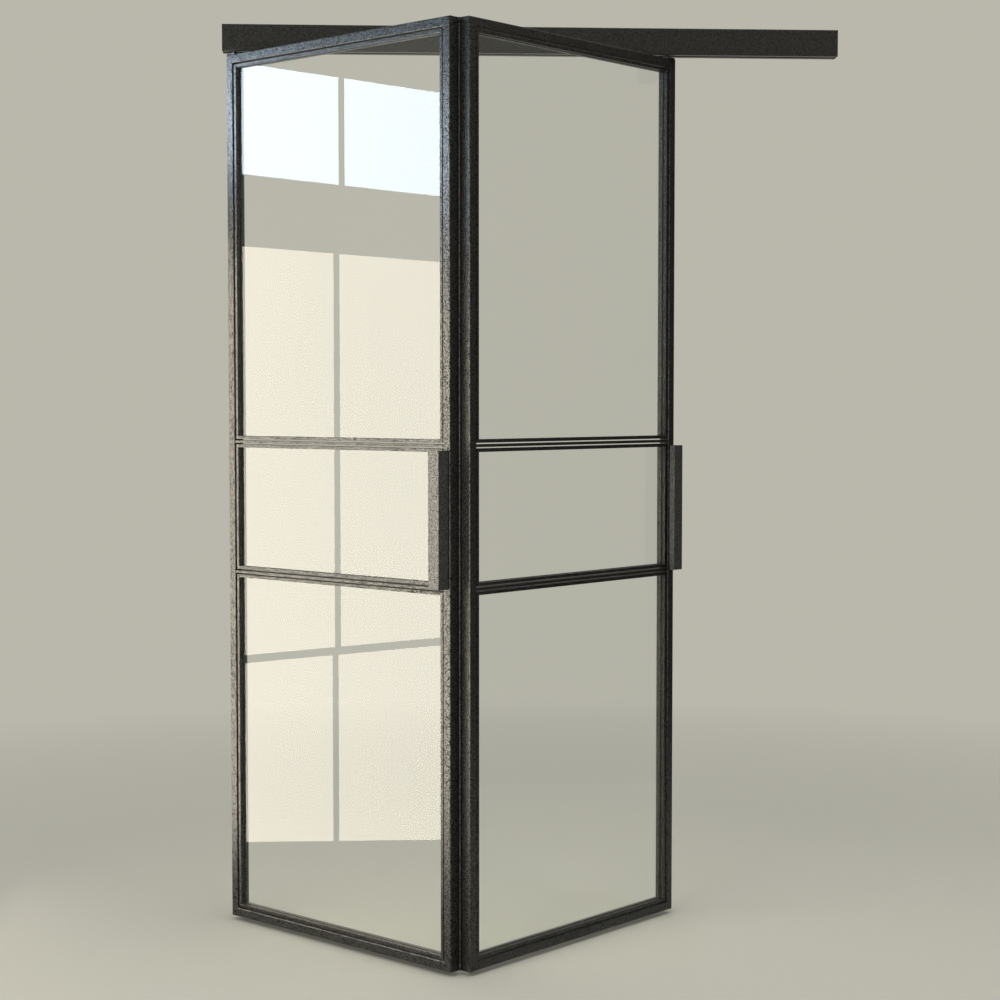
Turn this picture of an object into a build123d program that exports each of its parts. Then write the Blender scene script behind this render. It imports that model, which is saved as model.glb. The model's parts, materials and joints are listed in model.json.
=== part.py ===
from build123d import *
import os
from math import cos, radians, sin

os.makedirs("parts", exist_ok=True)

# Driving dimensions in millimetres. The origin is the middle of the track's back face,
# +X runs to the right along the wall, +Y points into the wall and +Z is up.

# Leaves
leaf_height = 2000
leaf_width = 706
fold_angle = 45
leaf_drop = 7

# Leaf frame: rectangular tube, mitred at the corners
tube_depth = 27
tube_face = 20.5
tube_wall = 2
tube_radius = 2

# Dividing bars, from the foot of the leaf to the middle of each bar
bar_thickness = 6
upper_bar_height = 1112.5
lower_bar_height = 811

# Glazing
bead_face = 7
bead_gap = 3
bead_recess = 2
bead_stand = 2
glass_thickness = 6
spacer_length = 30
spacer_depth = 16

# Pull handles, made of flat bar
handle_length = 291
handle_foot = 812
handle_reach = 29.5
handle_face = 31.5
handle_lip = 14
handle_inset = 5
handle_bar = 3
handle_corner = 1.5

# Fold hinge: a continuous strip hinge whose pin runs where the back corners of the leaves meet
knuckle_count = 13
knuckle_radius = 2.2
knuckle_clearance = 0.2
hinge_pin_radius = 1.1
hinge_pin_clearance = 0.1
hinge_strip_width = 18
hinge_strip_thickness = 1.2
hinge_end_gap = 10

# Track
track_length = 1424
track_height = 61
track_depth = 44
track_wall = 2.5
track_radius = 2.5
track_slot = 12
cap_thickness = 2
cap_tongue = 10
cap_wall = 3
fixing_radius = 4.5
fixing_inset = 112
fixing_spacings = (400, track_length - 2 * fixing_inset)

# Hardware at the tops of the leaves
pivot_setback = 27
pivot_inset = 14
pin_radius = 4
pin_engagement = 22
plate_length = 26
plate_width = 24
plate_thickness = 3
bracket_length = 28
bracket_height = 26
carriage_length = 64
carriage_width = 18
carriage_height = 20
wheel_radius = 11
wheel_width = 8
wheel_offset = 14
wheel_spacing = 40
axle_radius = 3
hub_radius = 6
stud_radius = 4
stud_end = 3
nut_height = 6.5
nut_radius = 7.5
hole_clearance = 0.3
running_clearance = 0.3

# Derived places
leaf_top = -track_height / 2 - leaf_drop
leaf_foot = leaf_top - leaf_height
lip_top = -track_height / 2 + track_wall
track_middle = -track_depth / 2
tube_length = track_length - 2 * cap_thickness
cavity_depth = track_depth - 2 * track_wall
cavity_height = track_height - 2 * track_wall
lean = radians(fold_angle)
glass_back = (tube_depth - glass_thickness) / 2
glass_front = glass_back + glass_thickness
hinge_gap = 2 * (knuckle_radius + knuckle_clearance)
hinge_foot = leaf_foot + hinge_end_gap
hinge_length = leaf_height - 2 * hinge_end_gap

# The pivot stands over the middle of the left leaf's tube, on the centre line of the track
pivot_run = leaf_width + hinge_gap / 2 - pivot_inset
pivot_reach = pivot_run * cos(lean) + tube_depth / 2 * sin(lean)
hinge_y = track_middle + tube_depth / 2 * cos(lean) - pivot_run * sin(lean)
pivot_x = pivot_setback - track_length / 2
hinge_x = pivot_x + pivot_reach
carriage_x = hinge_x + pivot_reach
axle_height = lip_top + running_clearance + wheel_radius


def leaf_plane(side):
    """Back face of a leaf: x from its left edge to its right, y up from its foot, z out of its front."""
    across = Vector(cos(lean), side * sin(lean), 0)
    front = Vector(side * sin(lean), -cos(lean), 0)
    fold_edge = Vector(hinge_x, hinge_y, leaf_foot) + across * (side * hinge_gap / 2)
    left_edge = fold_edge if side > 0 else fold_edge - across * leaf_width
    return Plane(origin=left_edge, x_dir=across, z_dir=front)


leaves = {"left": leaf_plane(-1), "right": leaf_plane(1)}

# Each opening between the frame and the bars: its lowest and highest edge above the leaf's foot
openings = {
    "bottom": (tube_face, lower_bar_height - bar_thickness / 2),
    "middle": (lower_bar_height + bar_thickness / 2, upper_bar_height - bar_thickness / 2),
    "top": (upper_bar_height + bar_thickness / 2, leaf_height - tube_face),
}
opening_width = leaf_width - 2 * tube_face


def place(leaf, along, up, out):
    """Point at a run along the leaf, a height above its foot and a distance in front of its back face."""
    return leaf.from_local_coords(Vector(along, up, out))


def keep(piece, name):
    piece.part.label = name
    export_step(piece.part, f"parts/{name}.step")


def tube_profile():
    """Hollow section of the leaf frame, with the face across and the depth up."""
    RectangleRounded(tube_face, tube_depth, tube_radius)
    Rectangle(tube_face - 2 * tube_wall, tube_depth - 2 * tube_wall, mode=Mode.SUBTRACT)


def mitre(corner, along, inward):
    """Trim the tube that runs along from this corner at 45 degrees, keeping what runs on from it."""
    split(bisect_by=Plane(origin=corner, z_dir=along - inward), keep=Keep.TOP)


def stile(leaf, at_right):
    edge = leaf_width if at_right else 0
    inward = -leaf.x_dir if at_right else leaf.x_dir
    middle = edge - tube_face / 2 if at_right else tube_face / 2
    with BuildPart() as piece:
        with BuildSketch(Plane(place(leaf, middle, 0, tube_depth / 2), leaf.x_dir, leaf.y_dir)):
            tube_profile()
        extrude(amount=leaf_height)
        mitre(place(leaf, edge, 0, 0), leaf.y_dir, inward)
        mitre(place(leaf, edge, leaf_height, 0), -leaf.y_dir, inward)
    return piece


def rail(leaf, at_top):
    edge = leaf_height if at_top else 0
    inward = -leaf.y_dir if at_top else leaf.y_dir
    middle = edge - tube_face / 2 if at_top else tube_face / 2
    with BuildPart() as piece:
        with BuildSketch(Plane(place(leaf, 0, middle, tube_depth / 2), leaf.y_dir, leaf.x_dir)):
            tube_profile()
        extrude(amount=leaf_width)
        mitre(place(leaf, 0, edge, 0), leaf.x_dir, inward)
        mitre(place(leaf, leaf_width, edge, 0), -leaf.x_dir, inward)
    return piece


def bar(leaf, height):
    with BuildPart() as piece:
        with BuildSketch(leaf):
            with Locations((leaf_width / 2, height)):
                Rectangle(opening_width, bar_thickness)
        extrude(amount=tube_depth)
    return piece


# Glazing. The pane and its beads stand off the frame by bead_gap all round. The beads are set back
# from the frame at the front, by bead_recess, and stand out from it at the back, by bead_stand.
def pane(leaf, low, high):
    with BuildPart() as piece:
        with BuildSketch(leaf.offset(glass_back)):
            with Locations((leaf_width / 2, (low + high) / 2)):
                Rectangle(opening_width - 2 * bead_gap, high - low - 2 * bead_gap)
        extrude(amount=glass_thickness)
    return piece


def beads(leaf, start, end):
    """A mitred ring of bead for each pane, from one depth to another."""
    with BuildPart() as piece:
        with BuildSketch(leaf.offset(start)):
            for low, high in openings.values():
                width, height = opening_width - 2 * bead_gap, high - low - 2 * bead_gap
                with Locations((leaf_width / 2, (low + high) / 2)):
                    Rectangle(width, height)
                    Rectangle(width - 2 * bead_face, height - 2 * bead_face, mode=Mode.SUBTRACT)
        extrude(amount=end - start)
    return piece


def spacers(leaf):
    """Two blocks at each side of each pane, which hold it off the stiles."""
    with BuildPart() as piece:
        with BuildSketch(leaf.offset((tube_depth - spacer_depth) / 2)):
            for low, high in openings.values():
                with Locations((leaf_width / 2, (low + high) / 2)):
                    with GridLocations(opening_width - bead_gap, (high - low) / 2, 2, 2):
                        Rectangle(bead_gap, spacer_length)
        extrude(amount=spacer_depth)
    return piece


# Pull handle: a leg welded to the stile, a face over the stile and a lip turned back behind it
def handle(leaf):
    foot = place(leaf, leaf_width - handle_inset, handle_foot, tube_depth)
    with BuildPart() as piece:
        with BuildSketch(Plane(foot, -leaf.x_dir, leaf.y_dir)) as profile:
            with BuildLine():
                Polyline(
                    (0, 0),
                    (0, handle_reach),
                    (handle_face, handle_reach),
                    (handle_face, handle_reach - handle_lip),
                )
                offset(amount=handle_bar, side=Side.RIGHT)
            make_face()
            fillet(profile.vertices().group_by(Axis.Y)[-1], radius=handle_corner)
        extrude(amount=handle_length)
    return piece


for side, leaf in leaves.items():
    fold_at_right = side == "left"
    keep(stile(leaf, fold_at_right), f"{side}_fold_stile")
    keep(stile(leaf, not fold_at_right), f"{side}_outer_stile")
    keep(rail(leaf, True), f"{side}_top_rail")
    keep(rail(leaf, False), f"{side}_bottom_rail")
    keep(bar(leaf, upper_bar_height), f"{side}_upper_bar")
    keep(bar(leaf, lower_bar_height), f"{side}_lower_bar")
    for where, (low, high) in openings.items():
        keep(pane(leaf, low, high), f"{side}_{where}_pane")
    keep(beads(leaf, -bead_stand, glass_back), f"{side}_back_beads")
    keep(beads(leaf, glass_front, tube_depth - bead_recess), f"{side}_front_beads")
    keep(spacers(leaf), f"{side}_pane_spacers")
    keep(handle(leaf), f"{side}_handle")


# Fold hinge: a strip along the back of each fold stile, with knuckles that take turns round one pin
def hinge_strip(side):
    leaf = leaves[side]
    away, behind, first = (-leaf.x_dir, Align.MAX, 0) if side == "left" else (leaf.x_dir, Align.MIN, 1)
    pitch = hinge_length / knuckle_count
    axis_point = Vector(hinge_x, hinge_y, hinge_foot)
    with BuildPart() as piece:
        with BuildSketch(Plane(axis_point, away, leaf.y_dir)):
            with Locations((hinge_gap / 2, 0)):
                Rectangle(hinge_strip_width, hinge_strip_thickness, align=(Align.MIN, behind))
        extrude(amount=hinge_length)
        for turn in range(first, knuckle_count, 2):
            start = axis_point + Vector(0, 0, turn * pitch + knuckle_clearance / 2)
            with BuildSketch(Plane(start, away, leaf.y_dir)):
                Circle(knuckle_radius)
                Rectangle(hinge_gap / 2, hinge_strip_thickness, align=(Align.MIN, behind))
            extrude(amount=pitch - knuckle_clearance)
        with BuildSketch(Plane(axis_point, away, leaf.y_dir)):
            Circle(hinge_pin_radius + hinge_pin_clearance)
        extrude(amount=hinge_length, mode=Mode.SUBTRACT)
    return piece


keep(hinge_strip("left"), "hinge_left_strip")
keep(hinge_strip("right"), "hinge_right_strip")

with BuildPart() as hinge_pin:
    with BuildSketch(Plane((hinge_x, hinge_y, hinge_foot))):
        Circle(hinge_pin_radius)
    extrude(amount=hinge_length)
keep(hinge_pin, "hinge_pin")


# Track: a folded box with a slot beneath and fixing holes through its back wall
with BuildPart() as track:
    with BuildSketch(Plane((-tube_length / 2, track_middle, 0), x_dir=(0, 1, 0), z_dir=(1, 0, 0))):
        RectangleRounded(track_depth, track_height, track_radius)
        Rectangle(cavity_depth, cavity_height, mode=Mode.SUBTRACT)
        with Locations((0, -track_height / 2)):
            Rectangle(track_slot, track_wall, align=(Align.CENTER, Align.MIN), mode=Mode.SUBTRACT)
    extrude(amount=tube_length)
    with BuildSketch(Plane.XZ):
        for spacing in fixing_spacings:
            with GridLocations(spacing, 0, 2, 1):
                Circle(fixing_radius)
    extrude(amount=track_wall, mode=Mode.SUBTRACT)
keep(track, "track_channel")


def end_cap(side):
    """Plate over one end of the track with a tongue that plugs into it."""
    end = side * tube_length / 2
    with BuildPart() as piece:
        with BuildSketch(Plane((end, track_middle, 0), x_dir=(0, 1, 0), z_dir=(side, 0, 0))):
            RectangleRounded(track_depth, track_height, track_radius)
        extrude(amount=cap_thickness)
        with BuildSketch(Plane((end, track_middle, 0), x_dir=(0, 1, 0), z_dir=(-side, 0, 0))):
            plug = (cavity_depth - 2 * hole_clearance, cavity_height - 2 * hole_clearance)
            Rectangle(*plug)
            Rectangle(plug[0] - 2 * cap_wall, plug[1] - 2 * cap_wall, mode=Mode.SUBTRACT)
        extrude(amount=cap_tongue)
    return piece


keep(end_cap(-1), "track_left_cap")
keep(end_cap(1), "track_right_cap")


# Pivot at the left leaf's outer edge: a bracket on the track's lips, a pin and a plate on the leaf
with BuildPart() as bracket:
    with BuildSketch(Plane((pivot_x, track_middle, lip_top))):
        Rectangle(bracket_length, cavity_depth - 2 * hole_clearance)
        Circle(pin_radius + hole_clearance, mode=Mode.SUBTRACT)
    extrude(amount=bracket_height)
keep(bracket, "pivot_bracket")


def top_plate(leaf, along):
    with BuildPart() as piece:
        with BuildSketch(Plane(place(leaf, along, leaf_height, tube_depth / 2), leaf.x_dir, leaf.y_dir)):
            Rectangle(plate_length, plate_width)
        extrude(amount=plate_thickness)
    return piece


keep(top_plate(leaves["left"], pivot_inset), "pivot_plate")
keep(top_plate(leaves["right"], leaf_width - pivot_inset), "hanger_plate")

with BuildPart() as pivot_pin:
    with BuildSketch(Plane((pivot_x, track_middle, leaf_top + plate_thickness))):
        Circle(pin_radius)
    extrude(amount=lip_top + pin_engagement - leaf_top - plate_thickness)
keep(pivot_pin, "pivot_pin")


# Roller carriage at the right leaf's outer edge: a body on four wheels, hung from its stud by a nut
carriage_foot = axle_height - carriage_height / 2
with BuildPart() as carriage:
    with BuildSketch(Plane((carriage_x, track_middle, carriage_foot))):
        RectangleRounded(carriage_length, carriage_width, track_radius)
        Circle(stud_radius + hole_clearance, mode=Mode.SUBTRACT)
    extrude(amount=carriage_height)
    with BuildSketch(Plane((carriage_x, track_middle, axle_height), x_dir=(1, 0, 0), z_dir=(0, -1, 0))):
        with GridLocations(wheel_spacing, 0, 2, 1):
            Circle(axle_radius + hole_clearance)
    extrude(amount=carriage_width, both=True, mode=Mode.SUBTRACT)
keep(carriage, "carriage_body")

with BuildPart() as axles:
    with BuildSketch(Plane((carriage_x, track_middle, axle_height), x_dir=(1, 0, 0), z_dir=(0, -1, 0))):
        with GridLocations(wheel_spacing, 0, 2, 1):
            Circle(axle_radius)
    extrude(amount=wheel_offset + wheel_width / 2, both=True)
keep(axles, "carriage_axles")

with BuildPart() as wheels:
    for side in (-1, 1):
        hub = track_middle + side * (carriage_width / 2 + hole_clearance)
        with BuildSketch(Plane((carriage_x, hub, axle_height), x_dir=(1, 0, 0), z_dir=(0, side, 0))):
            with GridLocations(wheel_spacing, 0, 2, 1):
                Circle(hub_radius)
                Circle(axle_radius + hole_clearance, mode=Mode.SUBTRACT)
        extrude(amount=wheel_offset - carriage_width / 2)
        tread = track_middle + side * (wheel_offset - wheel_width / 2)
        with BuildSketch(Plane((carriage_x, tread, axle_height), x_dir=(1, 0, 0), z_dir=(0, side, 0))):
            with GridLocations(wheel_spacing, 0, 2, 1):
                Circle(wheel_radius)
                Circle(axle_radius + hole_clearance, mode=Mode.SUBTRACT)
        extrude(amount=wheel_width)
keep(wheels, "carriage_wheels")

nut_seat = carriage_foot + carriage_height
with BuildPart() as stud:
    with BuildSketch(Plane((carriage_x, track_middle, leaf_top + plate_thickness))):
        Circle(stud_radius)
    extrude(amount=nut_seat + nut_height + stud_end - leaf_top - plate_thickness)
keep(stud, "hanger_stud")

with BuildPart() as nut:
    with BuildSketch(Plane((carriage_x, track_middle, nut_seat))):
        RegularPolygon(nut_radius, 6)
        Circle(stud_radius + hole_clearance, mode=Mode.SUBTRACT)
    extrude(amount=nut_height)
keep(nut, "hanger_nut")
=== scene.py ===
"""Looks of a glazed steel folding door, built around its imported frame."""
import json
from math import cos, pi, radians, sin

import bmesh
import bpy
from mathutils import Matrix, Vector


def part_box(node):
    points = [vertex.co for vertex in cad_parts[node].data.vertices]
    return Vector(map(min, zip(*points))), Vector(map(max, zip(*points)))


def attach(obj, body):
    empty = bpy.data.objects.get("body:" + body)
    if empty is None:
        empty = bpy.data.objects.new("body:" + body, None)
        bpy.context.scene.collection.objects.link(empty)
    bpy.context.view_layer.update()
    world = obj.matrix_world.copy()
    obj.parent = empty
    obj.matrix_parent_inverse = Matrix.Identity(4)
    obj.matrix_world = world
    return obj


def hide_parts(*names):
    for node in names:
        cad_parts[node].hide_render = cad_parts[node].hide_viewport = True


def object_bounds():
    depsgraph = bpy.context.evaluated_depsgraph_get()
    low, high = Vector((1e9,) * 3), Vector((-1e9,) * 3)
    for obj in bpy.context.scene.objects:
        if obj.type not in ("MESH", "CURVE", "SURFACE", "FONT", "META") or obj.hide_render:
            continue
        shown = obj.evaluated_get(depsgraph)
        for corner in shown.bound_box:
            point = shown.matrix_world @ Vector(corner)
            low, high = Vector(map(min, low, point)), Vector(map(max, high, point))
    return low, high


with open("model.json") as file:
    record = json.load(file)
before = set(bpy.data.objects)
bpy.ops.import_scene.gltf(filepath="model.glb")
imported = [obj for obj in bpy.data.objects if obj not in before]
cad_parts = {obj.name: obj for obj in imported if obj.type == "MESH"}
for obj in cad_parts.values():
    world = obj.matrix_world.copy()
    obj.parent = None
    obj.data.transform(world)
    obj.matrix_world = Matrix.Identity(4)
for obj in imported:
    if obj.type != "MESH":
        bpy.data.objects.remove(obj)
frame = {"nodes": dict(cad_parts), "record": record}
cad_low, cad_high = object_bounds()
nodes = frame["nodes"]

# Lengths are in metres and colours are linear.

# Camera, at the photograph's place. Its angles are in degrees, its lens and sensor in millimetres.
camera_place = (-0.3227, -4.6096, -0.8307)
camera_pitch, camera_yaw = -2.895, 3.104
camera_lens, sensor_width = 70.68, 36

# Pale warm grey backdrop, and a floor that fades into it further out
backdrop = (0.49, 0.478, 0.41)
floor_gap, floor_radius, floor_sides = 0.010, 9.0, 96
floor_albedo, floor_grain, floor_mottle = (0.43, 0.42, 0.36), 0.02, 0.015
fade_start, fade_end = 1.6, 3.6

# Soft light: the place, width and power of each lamp, and whether the door mirrors it
ambient = 0.62
door_middle = (0, -0.25, -1.0)
lamps = {
    "key": ((-2.6, -3.2, 1.4), 2.4, 75, False),
    "fill": ((3.2, -3.0, 0.6), 2.4, 40, False),
    "top": ((0.2, -0.6, 2.6), 2.2, 60, True),
}

# Colours of the panels that the door mirrors
warm_light, cool_light = (1.0, 0.915, 0.75), (0.74, 0.87, 1.0)
sky_light, grey_light = (0.45, 0.72, 1.0), (1.0, 0.96, 0.88)

# Bank of soft panels at the left, which the left leaf mirrors. Each row has its lower and its upper
# edge, its near end, the middle of the gap between its two panels, a strength and a colour. An edge
# is a height at y = edge_origin and a slope.
edge_origin = -0.25
bank_x, bank_far, bank_gap = -1.30, 0.35, 0.0155
bank_rows = (
    ((-2.003, 0.0), (-1.503, -0.085), -3.0, -0.2335, 7.5, warm_light),
    ((-1.482, -0.085), (-0.446, 0.076), -3.0, -0.2400, 7.5, warm_light),
    ((-0.266, 0.107), (0.013, 0.140), -1.1, -0.2545, 12.5, cool_light),
)

# Bright panel nearer the camera, which lights the rounded corners of the frame and the left handle
glint_x, glint_near, glint_far = -1.28, -3.0, -1.7
glint_low, glint_high = (-2.04, 0.0), (-0.15, 0.0)
glint_strength = 8.0

# Cool panel above the bank, which the left leaf's top rail and the tops of its stiles mirror
sky_near = -1.1
sky_low, sky_high = (0.115, -0.175), (0.45, 0.0)
sky_strength = 1.5

# Dark flag and dim panel at the right, which the right leaf mirrors. The flag thins out from
# thin_start to thin_end, as shares of its size from its middle.
flag_x, flag_near, flag_far = 1.9, -1.1, 1.6
flag_low, flag_high = (-2.25, 0.0), (0.65, 0.0)
flag_glow = 0.06
thin_start, thin_end = 0.36, 0.5
dim_near, dim_far = -3.2, -1.1
dim_low, dim_high = (-2.0, 0.0), (0.2, 0.0)
dim_strength = 1.1

# Leaves: which way each one runs from the fold, and its angle from the wall
signs = {"left": -1, "right": 1}
lean = radians(45)

# Easing of sharp edges. Faces that stand square to the leaf stay flat.
join_distance = 1e-6
same_plane, sharp_edge = radians(1), radians(40)
square_on = cos(radians(3))
edge_ease, glass_arris = 0.0004, 0.0006

# Gasket lips: how far the beads cover a pane, and how far inside that and how far off the glass
# each line of a lip lies
bead_cover = 0.007
gasket_section = ((0, 0), (0.0006, 0), (0.0006, 0.0006), (0.0004, 0.0009), (0, 0.0010))

# Fold hinge: screws, whose heads have rings of a radius and a rise, and plain ends
screw_count, screw_reach = 13, 0.0125
screw_rings = ((0.0036, 0.0), (0.0034, 0.00022), (0.0030, 0.0003))
head_sides, socket_sides = 24, 6
socket_radius, socket_depth = 0.0013, 0.0011
hinge_strip = 0.0012
knuckle_radius, knuckle_sides = 0.0022, 20

# Welds that hold the handles: where they stand, as shares of a handle's length, and their form
handle_bar = 0.003
weld_shares = (0.04, 0.5, 0.96)
weld_radius, weld_length, weld_step = 0.0026, 0.036, 0.0006
ripple_pitch, ripple_depth = 0.0024, 0.22
taper_rows = 5
arc_step, arc_points = pi / 12, 7


# Node helpers
def empty_tree(owner):
    owner.use_nodes = True
    owner.node_tree.nodes.clear()
    return owner.node_tree


def add(tree, kind, inputs=None, **settings):
    """A new shader node. An input is a value, or a socket to link from."""
    made = tree.nodes.new("ShaderNode" + kind)
    for name, value in settings.items():
        setattr(made, name, value)
    for name, value in (inputs or {}).items():
        if isinstance(value, bpy.types.NodeSocket):
            tree.links.new(value, made.inputs[name])
        else:
            made.inputs[name].default_value = value
    return made


def compute(tree, operation, *values):
    """Result of a Math node."""
    return add(tree, "Math", dict(enumerate(values)), operation=operation).outputs[0]


def noise(tree, where, size, detail=2.0, roughness=0.5):
    """Noise whose lumps are about size metres across."""
    values = {"Vector": where, "Scale": 1 / size, "Detail": detail, "Roughness": roughness}
    return add(tree, "TexNoise", values).outputs["Fac"]


def spread(tree, value, low, high, start=0.3, end=0.7):
    """value, mapped from start..end to low..high."""
    values = {"Value": value, "From Min": start, "From Max": end, "To Min": low, "To Max": high}
    return add(tree, "MapRange", values).outputs["Result"]


def tint(tree, factor, low, high):
    """Colour between low and high."""
    mix = add(tree, "MixRGB", {"Fac": factor, "Color1": (*low, 1), "Color2": (*high, 1)})
    return mix.outputs["Color"]


def relief(tree, height, strength, distance):
    """Normal of a surface that height raises by up to distance."""
    values = {"Height": height, "Strength": strength, "Distance": distance}
    return add(tree, "Bump", values).outputs["Normal"]


def surface(name, build):
    """A material whose surface shader is what build(tree, where) returns."""
    material = bpy.data.materials.new(name)
    tree = empty_tree(material)
    where = add(tree, "TexCoord").outputs["Object"]
    output = add(tree, "OutputMaterial")
    tree.links.new(build(tree, where), output.inputs["Surface"])
    return material


# Materials. A colour runs from its low to its high value.
coat_low, coat_high = (0.006, 0.0058, 0.0052), (0.015, 0.0145, 0.013)
handle_low, handle_high = (0.022, 0.0214, 0.0198), (0.042, 0.041, 0.038)
glass_low, glass_high = (0.975, 0.99, 0.983), (0.99, 0.997, 0.993)
zinc_low, zinc_high = (0.07, 0.07, 0.068), (0.11, 0.11, 0.118)
shadow_tint = (0.93, 0.95, 0.94)
see_through = {"IOR": 1.5, "Transmission Weight": 1.0}

# Powder coat: the sizes of its lumps, its fine grain and its waves, the height of a lump and the
# share of it that the fine grain adds, its roughness over the waves and what the fine grain adds to
# that, and the part of the lumps' range over which the gloss changes
lump_size, fine_size, wave_size = 0.0024, 0.0006, 0.09
lump_height, fine_share = 0.0003, 0.25
wave_roughness, fine_roughness = (0.29, 0.33), (-0.03, 0.03)
gloss_start, gloss_end = 0.38, 0.62


def powder_coat(low, high, gloss=(0.02, 0.84), dull=0.0):
    """Fine textured black powder coat: small lumps, some of them glossier, with shallow waves."""
    def build(tree, where):
        lumps = noise(tree, where, lump_size, detail=1)
        fine = noise(tree, where, fine_size, detail=1)
        waves = noise(tree, where, wave_size, detail=3)
        height = compute(tree, "MULTIPLY_ADD", fine, fine_share, lumps)
        patches = spread(tree, waves, *(roughness + dull for roughness in wave_roughness))
        specks = spread(tree, fine, *fine_roughness)
        shader = add(tree, "BsdfPrincipled", {
            "Base Color": tint(tree, spread(tree, lumps, 0, 1), low, high),
            "Roughness": compute(tree, "ADD", patches, specks),
            "Specular IOR Level": spread(tree, lumps, *gloss, gloss_start, gloss_end),
            "Normal": relief(tree, height, strength=1.0, distance=lump_height),
        })
        return shader.outputs["BSDF"]
    return build


def clear_glass(tree, where):
    """Toughened glass, tinted very slightly unevenly. Lamps pass straight through."""
    cloud = noise(tree, where, size=0.35, detail=2)
    shader = add(tree, "BsdfPrincipled", {
        "Base Color": tint(tree, spread(tree, cloud, 0, 1), glass_low, glass_high),
        "Roughness": 0.0,
        **see_through,
    })
    through = add(tree, "BsdfTransparent", {"Color": (*shadow_tint, 1)})
    shadow = add(tree, "LightPath").outputs["Is Shadow Ray"]
    mix = add(tree, "MixShader", {0: shadow, 1: shader.outputs["BSDF"], 2: through.outputs["BSDF"]})
    return mix.outputs["Shader"]


def zinc(tree, where):
    """Black zinc plate, faintly clouded."""
    clouds = noise(tree, where, size=0.006, detail=4, roughness=0.6)
    fine = noise(tree, where, size=0.0006, detail=2)
    shader = add(tree, "BsdfPrincipled", {
        "Base Color": tint(tree, spread(tree, clouds, 0, 1), zinc_low, zinc_high),
        "Metallic": 1.0,
        "Roughness": spread(tree, clouds, 0.26, 0.42),
        "Normal": relief(tree, fine, strength=0.3, distance=0.00005),
    })
    return shader.outputs["BSDF"]


def grained(size, detail, low, high, roughness, strength, distance, more=None):
    """One grain that changes the colour, the roughness and the height together."""
    def build(tree, where):
        grain = noise(tree, where, size, detail)
        shader = add(tree, "BsdfPrincipled", {
            "Base Color": tint(tree, grain, low, high),
            "Roughness": spread(tree, grain, *roughness),
            "Normal": relief(tree, grain, strength, distance),
            **(more or {}),
        })
        return shader.outputs["BSDF"]
    return build


nylon = grained(
    size=0.0005, detail=2, low=(0.016, 0.016, 0.017), high=(0.024, 0.024, 0.025),
    roughness=(0.42, 0.52), strength=0.3, distance=0.00005,
)
rubber = grained(
    size=0.0008, detail=3, low=(0.008, 0.008, 0.008), high=(0.016, 0.016, 0.016),
    roughness=(0.72, 0.86), strength=0.4, distance=0.0001,
)
ground_glass = grained(
    size=0.0008, detail=3, low=(0.72, 0.86, 0.80), high=(0.84, 0.93, 0.89),
    roughness=(0.35, 0.5), strength=0.5, distance=0.0001, more=see_through,
)

finishes = {
    "frame_paint": surface("powder_coat", powder_coat(coat_low, coat_high)),
    "glass": surface("clear_glass", clear_glass),
    "hardware_steel": surface("black_zinc_plate", zinc),
    "wheel_nylon": surface("nylon", nylon),
    "spacer_rubber": surface("spacer_rubber", rubber),
}
handle_coat = surface("handle_coat", powder_coat(handle_low, handle_high))
track_coat = surface("track_coat", powder_coat(coat_low, coat_high, gloss=(0.22, 0.44)))
cap_coat = surface("cap_coat", powder_coat(coat_low, coat_high, gloss=(0.04, 0.12), dull=0.30))
hinge_coat = surface("hinge_coat", powder_coat(coat_low, coat_high, dull=0.25))
glass_edge = surface("ground_glass_edge", ground_glass)

special = {
    "left_handle": handle_coat, "right_handle": handle_coat,
    "track_channel": track_coat, "track_left_cap": cap_coat, "track_right_cap": cap_coat,
    "hinge_left_strip": hinge_coat, "hinge_right_strip": hinge_coat,
}
slots = {piece["node"]: piece["material_slot"] for piece in frame["record"]["subparts"]}
for name, node in nodes.items():
    node.data.materials.clear()
    node.data.materials.append(special.get(name, finishes[slots[name]]))


# Pieces
def leaf_turn(sign):
    """Turns a leaf's own directions, along it, up and out of its front, into the door's."""
    across = Vector((cos(lean), sign * sin(lean), 0))
    front = Vector((sign * sin(lean), -cos(lean), 0))
    return Matrix((across, (0, 0, 1), front)).transposed()


turns = {side: leaf_turn(sign) for side, sign in signs.items()}


def extent(name, turn):
    """Lowest and highest corners of a node along its leaf's own directions."""
    points = [turn.transposed() @ vertex.co for vertex in nodes[name].data.vertices]
    return [
        Vector(pick(point[axis] for point in points) for axis in range(3)) for pick in (min, max)
    ]


def finish_piece(form, name, materials, stands_for=()):
    """Turn mesh code into an object that rides on the door."""
    mesh = bpy.data.meshes.new(name)
    form.to_mesh(mesh)
    form.free()
    for material in materials:
        mesh.materials.append(material)
    made = bpy.data.objects.new(name, mesh)
    bpy.context.scene.collection.objects.link(made)
    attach(made, "root")
    if stands_for:
        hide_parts(*stands_for)


def eased(name, turn, ease, edge_material=None):
    """Copy of a CAD node with its sharp edges eased, which stands for it."""
    form = bmesh.new()
    form.from_mesh(nodes[name].data)
    bmesh.ops.remove_doubles(form, verts=form.verts, dist=join_distance)
    bmesh.ops.dissolve_limit(form, angle_limit=same_plane, verts=form.verts, edges=form.edges)
    sharp = [edge for edge in form.edges if edge.calc_face_angle(0) > sharp_edge]
    bmesh.ops.bevel(
        form, geom=sharp, offset=ease, segments=2, profile=0.5, affect="EDGES", clamp_overlap=True
    )
    for face in form.faces:
        normal = turn.transposed() @ face.normal
        face.smooth = max(abs(part) for part in normal) < square_on
        face.material_index = 1 if edge_material and abs(normal.z) < square_on else 0
    materials = [nodes[name].data.materials[0]] + ([edge_material] if edge_material else [])
    finish_piece(form, f"{name}_eased", materials, [name])


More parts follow.
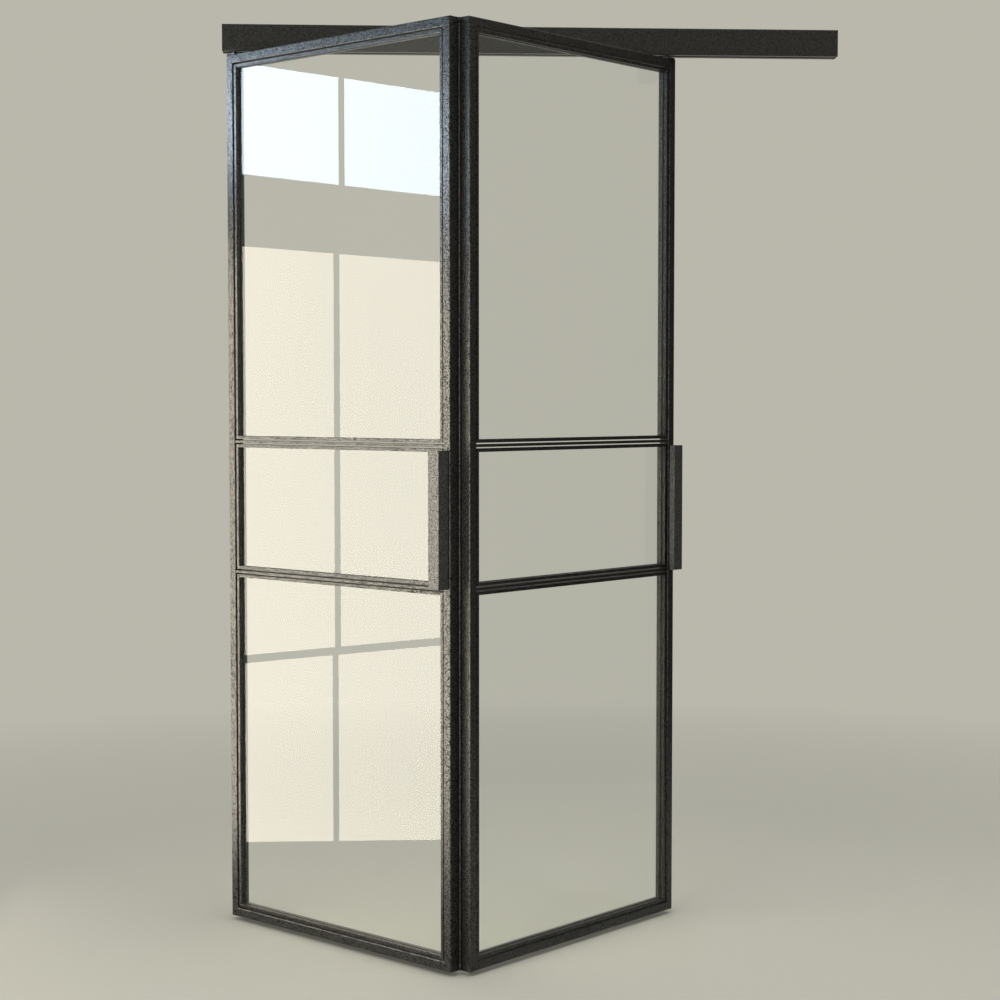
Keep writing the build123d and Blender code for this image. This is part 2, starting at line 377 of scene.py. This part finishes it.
def ring(form, turn, low, high, section):
    """Mitred ring inside a rectangle. Its section has how far in and forward each line runs."""
    loops = []
    for inset, forward in section:
        left, foot, right, top = low.x + inset, low.y + inset, high.x - inset, high.y - inset
        corners = ((left, foot), (right, foot), (right, top), (left, top))
        loops.append([form.verts.new(turn @ Vector((x, y, forward))) for x, y in corners])
    for first, second in zip(loops, loops[1:] + loops[:1]):
        for k in range(4):
            form.faces.new((first[k], first[k - 1], second[k - 1], second[k]))


def gaskets(side, turn):
    """Rubber lips that press on both faces of each pane, inside its beads."""
    form = bmesh.new()
    for where in ("bottom", "middle", "top"):
        low, high = extent(f"{side}_{where}_pane", turn)
        for face, out in ((low.z, -1), (high.z, 1)):
            section = [(bead_cover + inset, face + out * rise) for inset, rise in gasket_section]
            ring(form, turn, low, high, section)
    bmesh.ops.recalc_face_normals(form, faces=form.faces)
    finish_piece(form, f"{side}_gaskets", [finishes["spacer_rubber"]])


def circle(form, place, radius, rise, sides):
    """Corners of a level polygon, rise above the origin of place."""
    angles = [2 * pi * k / sides for k in range(sides)]
    return [
        form.verts.new(place @ Vector((radius * cos(a), radius * sin(a), rise))) for a in angles
    ]


def screw(form, place):
    """Flush screw head with a hexagon socket, standing on the origin of place along its z."""
    rings = [circle(form, place, radius, rise, head_sides) for radius, rise in screw_rings]
    for outer, inner in zip(rings, rings[1:]):
        for k in range(head_sides):
            form.faces.new((outer[k - 1], outer[k], inner[k], inner[k - 1]))
    top = screw_rings[-1][1]
    mouth = circle(form, place, socket_radius, top, socket_sides)
    bottom = circle(form, place, socket_radius, top - socket_depth, socket_sides)
    share = head_sides // socket_sides
    for k in range(socket_sides):
        rim = [rings[-1][(share * k + j) % head_sides] for j in range(share + 1)]
        form.faces.new((*rim, mouth[(k + 1) % socket_sides], mouth[k]))
        form.faces.new((mouth[k - 1], mouth[k], bottom[k], bottom[k - 1]))
    form.faces.new(bottom)


def hinge_screws():
    """Screws through both hinge strips into the backs of the fold stiles."""
    pin_low, pin_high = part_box("hinge_pin")
    axis = (pin_low + pin_high) / 2
    form = bmesh.new()
    for side, turn in turns.items():
        low, high = extent(f"hinge_{side}_strip", turn)
        along = (turn.transposed() @ axis).x + signs[side] * screw_reach
        pitch = (high.y - low.y) / screw_count
        back = (turn.transposed() @ axis).z
        facing = (turn @ Matrix.Rotation(pi, 3, "Y")).to_4x4()
        for k in range(screw_count):
            spot = turn @ Vector((along, low.y + (k + 0.5) * pitch, back - hinge_strip))
            screw(form, Matrix.Translation(spot) @ facing)
    bmesh.ops.recalc_face_normals(form, faces=form.faces)
    finish_piece(form, "hinge_screws", [finishes["hardware_steel"]])


def hinge_ends():
    """Plain knuckles and plates that carry the fold hinge on to the leaves' top and foot."""
    pin_low, pin_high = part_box("hinge_pin")
    leaf_low, leaf_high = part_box("left_fold_stile")
    middle = (pin_low + pin_high) / 2
    ends = ((leaf_low.z, pin_low.z), (pin_high.z, leaf_high.z))
    form = bmesh.new()
    for start, end in ends:
        place = Matrix.Translation((middle.x, middle.y, (start + end) / 2))
        bmesh.ops.create_cone(
            form, cap_ends=True, segments=knuckle_sides, radius1=knuckle_radius,
            radius2=knuckle_radius, depth=end - start, matrix=place,
        )
    # The knuckles' round sides are smoothed before the flat plates join them.
    for face in form.faces:
        face.smooth = len(face.verts) == 4
    for side, turn in turns.items():
        low, high = extent(f"hinge_{side}_strip", turn)
        axis = turn.transposed() @ middle
        far = low.x if side == "left" else high.x
        for start, end in ends:
            centre = turn @ Vector(
                ((axis.x + far) / 2, (start + end) / 2, axis.z - hinge_strip / 2)
            )
            size = Matrix.Diagonal((abs(far - axis.x), end - start, hinge_strip, 1))
            place = Matrix.Translation(centre) @ turn.to_4x4() @ size
            bmesh.ops.create_cube(form, size=1, matrix=place)
    finish_piece(form, "hinge_ends", [hinge_coat])


def weld(form, turn, corner, start):
    """Rippled weld in the corner between a stile's front and a handle's leg, rising from start."""
    count = round(weld_length / weld_step)
    rows = []
    for k in range(count + 1):
        run = k * weld_step
        ripple = 1 - ripple_depth * (run % ripple_pitch) / ripple_pitch
        taper = min(1, (min(k, count - k) + 1) / taper_rows)
        radius = weld_radius * ripple * taper
        angles = [arc_step * j for j in range(arc_points)]
        arc = [(0, 0)] + [(radius * cos(a), radius * sin(a)) for a in angles]
        rows.append([
            form.verts.new(turn @ Vector((corner.x - inward, start + run, corner.z + out)))
            for inward, out in arc
        ])
    for lower, upper in zip(rows, rows[1:]):
        for j in range(len(lower)):
            side = form.faces.new((lower[j - 1], lower[j], upper[j], upper[j - 1]))
            side.smooth = j > 1
    form.faces.new(rows[0])
    form.faces.new(rows[-1])


def handle_welds():
    """Short welds down the inner side of each handle's leg."""
    form = bmesh.new()
    for side, turn in turns.items():
        low, high = extent(f"{side}_handle", turn)
        corner = Vector((high.x - handle_bar, 0, low.z))
        for share in weld_shares:
            weld(form, turn, corner, low.y + share * (high.y - low.y - weld_length))
    bmesh.ops.recalc_face_normals(form, faces=form.faces)
    finish_piece(form, "handle_welds", [finishes["frame_paint"]])


for side, turn in turns.items():
    for name in ("upper_bar", "lower_bar", "front_beads", "back_beads", "handle"):
        eased(f"{side}_{name}", turn, edge_ease)
    for where in ("bottom", "middle", "top"):
        eased(f"{side}_{where}_pane", turn, glass_arris, glass_edge)
    gaskets(side, turn)
hinge_screws()
hinge_ends()
handle_welds()


# Stage
def light_shader(strength, colour):
    def build(tree, where):
        glow = add(tree, "Emission", {"Color": (*colour, 1), "Strength": strength})
        return glow.outputs["Emission"]
    return build


def panel(name, x, near, far, low, high, build):
    """Upright panel beside the door, seen only in what mirrors it. Its edges may slope."""
    def edge(line, y):
        height, slope = line
        return (x, y, height + slope * (y - edge_origin))

    corners = [edge(low, near), edge(low, far), edge(high, far), edge(high, near)]
    mesh = bpy.data.meshes.new(name)
    mesh.from_pydata(corners, [], [(0, 1, 2, 3)])
    mesh.materials.append(surface(name, build))
    made = bpy.data.objects.new(name, mesh)
    bpy.context.scene.collection.objects.link(made)
    made.visible_camera = False
    made.visible_diffuse = False
    made.visible_transmission = False
    made.visible_shadow = False


def flag_shader(tree, where):
    """Black cloth that thins out towards its edges."""
    spot = add(tree, "TexCoord").outputs["Generated"]
    across = add(tree, "SeparateXYZ", {"Vector": spot})
    covers = []
    for axis in ("Y", "Z"):
        offset = compute(tree, "SUBTRACT", across.outputs[axis], 0.5)
        reach = compute(tree, "ABSOLUTE", offset)
        covers.append(spread(tree, reach, 1, 0, thin_start, thin_end))
    cover = compute(tree, "MULTIPLY", *covers)
    clear = add(tree, "BsdfTransparent")
    black = add(tree, "Emission", {"Color": (*grey_light, 1), "Strength": flag_glow})
    mix = add(tree, "MixShader", {0: cover, 1: clear.outputs[0], 2: black.outputs[0]})
    return mix.outputs["Shader"]


def make_panels():
    for row, (low, high, near, middle, strength, colour) in enumerate(bank_rows):
        glow = light_shader(strength, colour)
        gap_near, gap_far = middle - bank_gap / 2, middle + bank_gap / 2
        panel(f"soft_panel_{row}_near", bank_x, near, gap_near, low, high, glow)
        panel(f"soft_panel_{row}_far", bank_x, gap_far, bank_far, low, high, glow)
    glow = light_shader(sky_strength, sky_light)
    panel("sky_panel", bank_x, sky_near, bank_far, sky_low, sky_high, glow)
    glow = light_shader(glint_strength, grey_light)
    panel("glint_panel", glint_x, glint_near, glint_far, glint_low, glint_high, glow)
    panel("flag", flag_x, flag_near, flag_far, flag_low, flag_high, flag_shader)
    glow = light_shader(dim_strength, grey_light)
    panel("dim_panel", flag_x, dim_near, dim_far, dim_low, dim_high, glow)


def floor_shader(tree, where):
    """Matt floor near the door that turns into the plain backdrop further out."""
    distance = add(tree, "VectorMath", {0: where}, operation="LENGTH").outputs["Value"]
    fade = spread(tree, distance, 0, 1, fade_start, fade_end)
    grain = noise(tree, where, floor_grain, detail=4)
    shades = [[c * share for c in floor_albedo] for share in (1 - floor_mottle, 1 + floor_mottle)]
    matt = add(tree, "BsdfPrincipled", {
        "Base Color": tint(tree, grain, *shades),
        "Roughness": 0.9,
        "Specular IOR Level": 0.1,
    })
    plain = add(tree, "Emission", {"Color": (*backdrop, 1)})
    mix = add(tree, "MixShader", {0: fade, 1: matt.outputs["BSDF"], 2: plain.outputs["Emission"]})
    return mix.outputs["Shader"]


def make_floor():
    bpy.ops.mesh.primitive_circle_add(vertices=floor_sides, radius=floor_radius, fill_type="NGON")
    floor = bpy.context.object
    floor.name = "floor"
    middle = (cad_low + cad_high) / 2
    floor.location = (middle.x, middle.y, cad_low.z - floor_gap)
    floor.data.materials.append(surface("floor", floor_shader))


def make_world():
    """The backdrop's colour wherever it is seen, and a soft ambient light elsewhere."""
    world = bpy.data.worlds.new("backdrop")
    bpy.context.scene.world = world
    tree = empty_tree(world)
    path = add(tree, "LightPath")
    seen = path.outputs["Is Camera Ray"]
    for ray in ("Is Glossy Ray", "Is Transmission Ray"):
        seen = compute(tree, "MAXIMUM", seen, path.outputs[ray])
    plain = add(tree, "Background", {"Color": (*backdrop, 1), "Strength": 1.0})
    soft = add(tree, "Background", {"Color": (1, 1, 1, 1), "Strength": ambient})
    mix = add(tree, "MixShader", {0: seen, 1: soft.outputs[0], 2: plain.outputs[0]})
    output = add(tree, "OutputWorld")
    tree.links.new(mix.outputs[0], output.inputs["Surface"])


def soft_light(name, place, size, power, mirrored):
    """Square lamp that faces the door and isn't seen through the glass."""
    lamp = bpy.data.lights.new(name, "AREA")
    lamp.shape = "SQUARE"
    lamp.size = size
    lamp.energy = power
    made = bpy.data.objects.new(name, lamp)
    made.location = place
    facing = Vector(door_middle) - Vector(place)
    made.rotation_euler = facing.to_track_quat("-Z", "Y").to_euler()
    made.visible_glossy = mirrored
    made.visible_transmission = False
    bpy.context.scene.collection.objects.link(made)


def make_camera():
    data = bpy.data.cameras.new("camera")
    data.lens = camera_lens
    data.sensor_width = sensor_width
    made = bpy.data.objects.new("camera", data)
    made.location = camera_place
    made.rotation_euler = (radians(90 + camera_pitch), 0, radians(-camera_yaw))
    bpy.context.scene.collection.objects.link(made)
    bpy.context.scene.camera = made


make_panels()
make_floor()
make_world()
for name, (place, size, power, mirrored) in lamps.items():
    soft_light(name, place, size, power, mirrored)
make_camera()

scene = bpy.context.scene
scene.view_settings.view_transform = "Standard"
